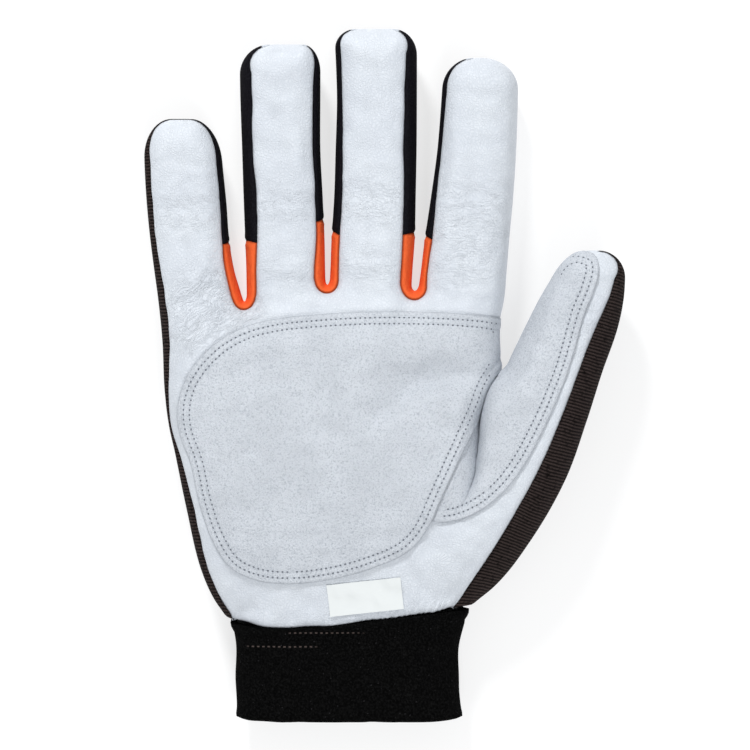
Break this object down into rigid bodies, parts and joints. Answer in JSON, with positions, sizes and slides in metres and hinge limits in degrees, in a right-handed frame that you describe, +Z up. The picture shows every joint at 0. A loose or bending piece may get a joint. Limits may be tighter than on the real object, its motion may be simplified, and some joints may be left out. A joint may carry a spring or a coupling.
{
  "type": "mechanic glove",
  "caption": "Padded work glove for the right hand, palm up: leather palm with suede patches, ribbed cloth back, coloured crotch gussets and a soft open cuff.",
  "frame": {"origin": "centre of the bounding box's underside, on the surface that the glove rests on", "axes": "+Y from the open cuff to the fingertips, +Z up through the palm side, +X towards the thumb"},
  "size_m": [0.1737, 0.2499, 0.0384],
  "materials": {
    "palm_leather": "grain leather, satin",
    "back_fabric": "ribbed knit, matt",
    "suede": "split leather, napped",
    "strip_cloth": "smooth stretch cloth, matt",
    "gusset_cloth": "smooth stretch cloth, matt",
    "cuff": "napped knit, matt",
    "size_label": "bare printed-film sticker, semi-matt"
  },
  "bodies": {
    "root": {"palm_leather": "palm_leather", "back_fabric": "back_fabric", "palm_patch": "suede", "thumb_patch": "suede", "fourchette_little_right": "strip_cloth", "fourchette_ring_left": "strip_cloth", "fourchette_ring_right": "strip_cloth", "fourchette_middle_left": "strip_cloth", "fourchette_middle_right": "strip_cloth", "fourchette_index_left": "strip_cloth", "gusset_little_ring": "gusset_cloth", "gusset_ring_middle": "gusset_cloth", "gusset_middle_index": "gusset_cloth", "cuff": "cuff", "size_label": "size_label"}
  },
  "joints": []
}
